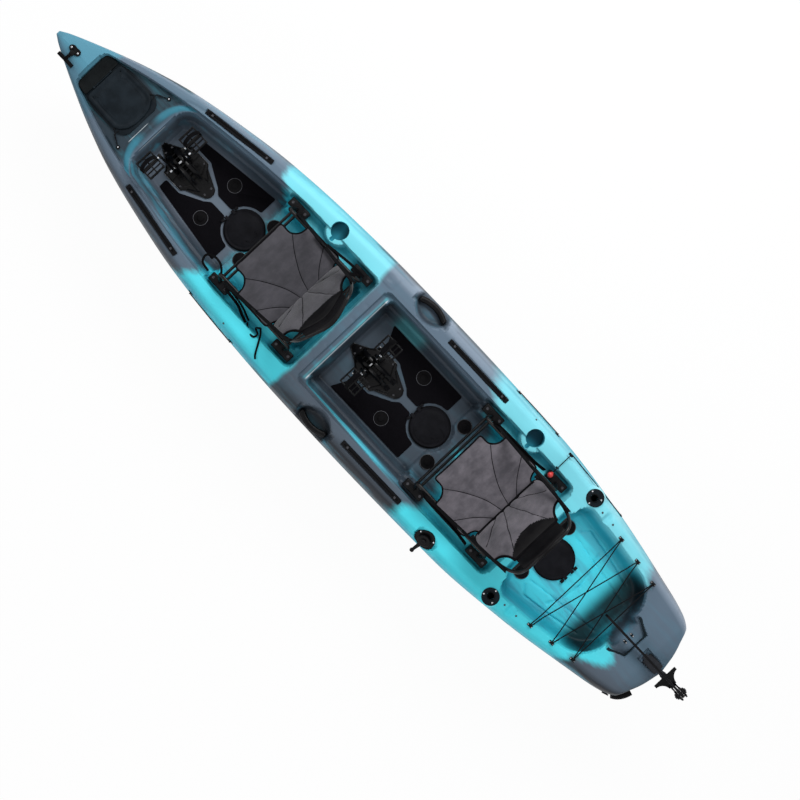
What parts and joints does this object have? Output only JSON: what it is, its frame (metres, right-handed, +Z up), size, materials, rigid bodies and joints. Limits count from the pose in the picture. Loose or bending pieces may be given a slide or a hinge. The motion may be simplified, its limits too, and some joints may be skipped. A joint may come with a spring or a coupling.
{
  "type": "two-seat pedal kayak",
  "caption": "Sit-on-top tandem kayak with fin pedal drives, framed folding seats, hinged hatches, a steering dial and a flip-up rudder.",
  "frame": {"origin": "on the flat of the keel, below the middle of the cross beam between the two cockpits", "axes": "+X towards the bow, +Y to port, +Z up"},
  "size_m": [4.415, 0.9402, 1.0642],
  "materials": {
    "moulded_shell": "rotomoulded polyethylene, blended grey and cyan",
    "black_plastic": "satin moulded",
    "charcoal_plastic": "satin moulded",
    "foam_mat": "textured closed-cell foam",
    "frame_tube": "black powder-coated tube",
    "seat_cloth": "dark grey mesh cloth",
    "pale_seat_cloth": "grey mesh cloth",
    "cord": "woven black webbing and cord",
    "steel": "brushed",
    "alloy": "anodised",
    "red_knob": "glossy red"
  },
  "bodies": {
    "hull": {"hull": "moulded_shell", "bow_hatch_rim": "black_plastic", "bow_handle_plate": "black_plastic", "front_port_gear_track": "alloy", "front_starboard_gear_track": "alloy", "rear_port_gear_track": "alloy", "rear_starboard_gear_track": "alloy", "front_cockpit_hatch_ring": "black_plastic", "rear_cockpit_hatch_ring": "black_plastic", "tankwell_hatch_ring": "black_plastic", "front_port_foot_mat": "foam_mat", "front_starboard_foot_mat": "foam_mat", "rear_port_foot_mat": "foam_mat", "rear_starboard_foot_mat": "foam_mat", "port_rod_holder": "black_plastic", "starboard_rod_holder": "black_plastic", "port_carry_handle": "black_plastic", "starboard_carry_handle": "black_plastic", "keel_wear_strip": "black_plastic", "tankwell_bungee": "cord", "steering_base": "black_plastic", "rudder_lift_guide": "black_plastic", "rudder_bracket": "steel", "front_drive_body": "charcoal_plastic", "rear_drive_body": "charcoal_plastic", "front_seat_base_frame": "frame_tube", "front_seat_fabric": "seat_cloth", "rear_seat_base_frame": "frame_tube", "rear_seat_fabric": "pale_seat_cloth", "front_seat_port_strap": "cord", "front_seat_starboard_strap": "cord", "rear_seat_port_strap": "cord", "rear_seat_starboard_strap": "cord"},
    "bow_grip": {"bow_handle_grip": "black_plastic"},
    "bow_lid": {"bow_hatch_lid": "charcoal_plastic"},
    "front_hatch_lid": {"front_cockpit_hatch_lid": "charcoal_plastic"},
    "rear_hatch_lid": {"rear_cockpit_hatch_lid": "charcoal_plastic"},
    "tankwell_lid": {"tankwell_hatch_lid": "charcoal_plastic"},
    "drain_plug": {"drain_plug": "black_plastic"},
    "steering_knob": {"steering_knob": "black_plastic"},
    "rudder_head": {"rudder_head": "black_plastic"},
    "rudder_blade": {"rudder_blade": "alloy"},
    "rudder_lift_pull": {"rudder_lift_pull": "red_knob"},
    "front_port_crank": {"front_port_crank": "black_plastic"},
    "front_port_pedal": {"front_port_pedal": "black_plastic"},
    "front_starboard_crank": {"front_starboard_crank": "black_plastic"},
    "front_starboard_pedal": {"front_starboard_pedal": "black_plastic"},
    "front_fore_fin": {"front_fore_fin": "charcoal_plastic"},
    "front_aft_fin": {"front_aft_fin": "charcoal_plastic"},
    "rear_port_crank": {"rear_port_crank": "black_plastic"},
    "rear_port_pedal": {"rear_port_pedal": "black_plastic"},
    "rear_starboard_crank": {"rear_starboard_crank": "black_plastic"},
    "rear_starboard_pedal": {"rear_starboard_pedal": "black_plastic"},
    "rear_fore_fin": {"rear_fore_fin": "charcoal_plastic"},
    "rear_aft_fin": {"rear_aft_fin": "charcoal_plastic"},
    "front_seat_back": {"front_seat_back_frame": "frame_tube", "front_seat_back_fabric": "seat_cloth"},
    "rear_seat_back": {"rear_seat_back_frame": "frame_tube", "rear_seat_back_fabric": "pale_seat_cloth"}
  },
  "joints": [
    {"name": "front_port_crank_swing", "type": "hinge", "parent": "hull", "child": "front_port_crank", "pos_m": [1.1485, 0.05, 0.118], "axis": [0, 1, 0], "range_deg": [-43, 33]},
    {"name": "front_port_pedal_turn", "type": "hinge", "parent": "front_port_crank", "child": "front_port_pedal", "pos_m": [1.17569, 0.113, 0.42881], "axis": [0, 1, 0], "continuous": true},
    {"name": "front_starboard_crank_swing", "type": "hinge", "parent": "hull", "child": "front_starboard_crank", "pos_m": [1.1485, -0.05, 0.118], "axis": [0, 1, 0], "range_deg": [-33, 43]},
    {"name": "front_starboard_pedal_turn", "type": "hinge", "parent": "front_starboard_crank", "child": "front_starboard_pedal", "pos_m": [1.12131, -0.113, 0.42881], "axis": [0, 1, 0], "continuous": true},
    {"name": "front_fore_fin_swing", "type": "hinge", "parent": "hull", "child": "front_fore_fin", "pos_m": [1.273, 0, -0.011], "axis": [1, 0, 0], "range_deg": [-86, 66]},
    {"name": "front_aft_fin_swing", "type": "hinge", "parent": "hull", "child": "front_aft_fin", "pos_m": [1.134, 0, -0.011], "axis": [1, 0, 0], "range_deg": [-66, 86]},
    {"name": "rear_port_crank_swing", "type": "hinge", "parent": "hull", "child": "rear_port_crank", "pos_m": [-0.2335, 0.05, 0.118], "axis": [0, 1, 0], "range_deg": [-38, 38]},
    {"name": "rear_port_pedal_turn", "type": "hinge", "parent": "rear_port_crank", "child": "rear_port_pedal", "pos_m": [-0.2335, 0.113, 0.43], "axis": [0, 1, 0], "continuous": true},
    {"name": "rear_starboard_crank_swing", "type": "hinge", "parent": "hull", "child": "rear_starboard_crank", "pos_m": [-0.2335, -0.05, 0.118], "axis": [0, 1, 0], "range_deg": [-38, 38]},
    {"name": "rear_starboard_pedal_turn", "type": "hinge", "parent": "rear_starboard_crank", "child": "rear_starboard_pedal", "pos_m": [-0.2335, -0.113, 0.43], "axis": [0, 1, 0], "continuous": true},
    {"name": "rear_fore_fin_swing", "type": "hinge", "parent": "hull", "child": "rear_fore_fin", "pos_m": [-0.109, 0, -0.011], "axis": [1, 0, 0], "range_deg": [-76, 76]},
    {"name": "rear_aft_fin_swing", "type": "hinge", "parent": "hull", "child": "rear_aft_fin", "pos_m": [-0.248, 0, -0.011], "axis": [1, 0, 0], "range_deg": [-76, 76]},
    {"name": "front_seat_back_fold", "type": "hinge", "parent": "hull", "child": "front_seat_back", "pos_m": [0.217, 0, 0.418], "axis": [0, 1, 0], "range_deg": [0, 85], "deforming": ["front_seat_port_strap", "front_seat_starboard_strap"]},
    {"name": "rear_seat_back_fold", "type": "hinge", "parent": "hull", "child": "rear_seat_back", "pos_m": [-1.1625, 0, 0.418], "axis": [0, 1, 0], "range_deg": [0, 85], "deforming": ["rear_seat_port_strap", "rear_seat_starboard_strap"]},
    {"name": "bow_lid_hinge", "type": "hinge", "parent": "hull", "child": "bow_lid", "pos_m": [1.6675, 0, 0.2893], "axis": [0, 1, 0], "range_deg": [0, 105]},
    {"name": "front_hatch_lid_hinge", "type": "hinge", "parent": "hull", "child": "front_hatch_lid", "pos_m": [0.8, 0, 0.0668], "axis": [0, 1, 0], "range_deg": [0, 95]},
    {"name": "rear_hatch_lid_hinge", "type": "hinge", "parent": "hull", "child": "rear_hatch_lid", "pos_m": [-0.558, 0, 0.0668], "axis": [0, 1, 0], "range_deg": [0, 95]},
    {"name": "tankwell_lid_hinge", "type": "hinge", "parent": "hull", "child": "tankwell_lid", "pos_m": [-1.658, 0, 0.1818], "axis": [0, -1, 0], "range_deg": [0, 85]},
    {"name": "bow_grip_hinge", "type": "hinge", "parent": "hull", "child": "bow_grip", "pos_m": [1.8505, 0.0255, 0.3319], "axis": [1, 0, 0], "range_deg": [0, 165]},
    {"name": "steering_knob_turn", "type": "hinge", "parent": "hull", "child": "steering_knob", "pos_m": [-1.0315, 0.388, 0.264], "axis": [0, 0.6157, 0.788], "range_deg": [-45, 45]},
    {"name": "rudder_steer", "type": "hinge", "parent": "hull", "child": "rudder_head", "pos_m": [-2.3155, 0, 0.285], "axis": [0, 0, 1], "range_deg": [-35, 35]},
    {"name": "rudder_blade_swing", "type": "hinge", "parent": "rudder_head", "child": "rudder_blade", "pos_m": [-2.4035, 0, 0.345], "axis": [0, -1, 0], "range_deg": [0, 270]},
    {"name": "rudder_lift_slide", "type": "slide", "parent": "hull", "child": "rudder_lift_pull", "axis": [0, 1, 0], "range_m": [0, 0.09]},
    {"name": "drain_plug_pull", "type": "slide", "parent": "hull", "child": "drain_plug", "axis": [-0.3168, 0.9318, 0.177], "range_m": [0, 0.03]}
  ],
  "couplings": [
    {"joint": "front_starboard_crank_swing", "follows": "front_port_crank_swing", "ratio": -1},
    {"joint": "front_fore_fin_swing", "follows": "front_port_crank_swing", "ratio": 2},
    {"joint": "front_aft_fin_swing", "follows": "front_port_crank_swing", "ratio": -2},
    {"joint": "rear_starboard_crank_swing", "follows": "rear_port_crank_swing", "ratio": -1},
    {"joint": "rear_fore_fin_swing", "follows": "rear_port_crank_swing", "ratio": 2},
    {"joint": "rear_aft_fin_swing", "follows": "rear_port_crank_swing", "ratio": -2},
    {"joint": "steering_knob_turn", "follows": "rudder_steer", "ratio": 1.2857},
    {"joint": "rudder_lift_slide", "follows": "rudder_blade_swing", "m_per_rad": 0.019}
  ]
}
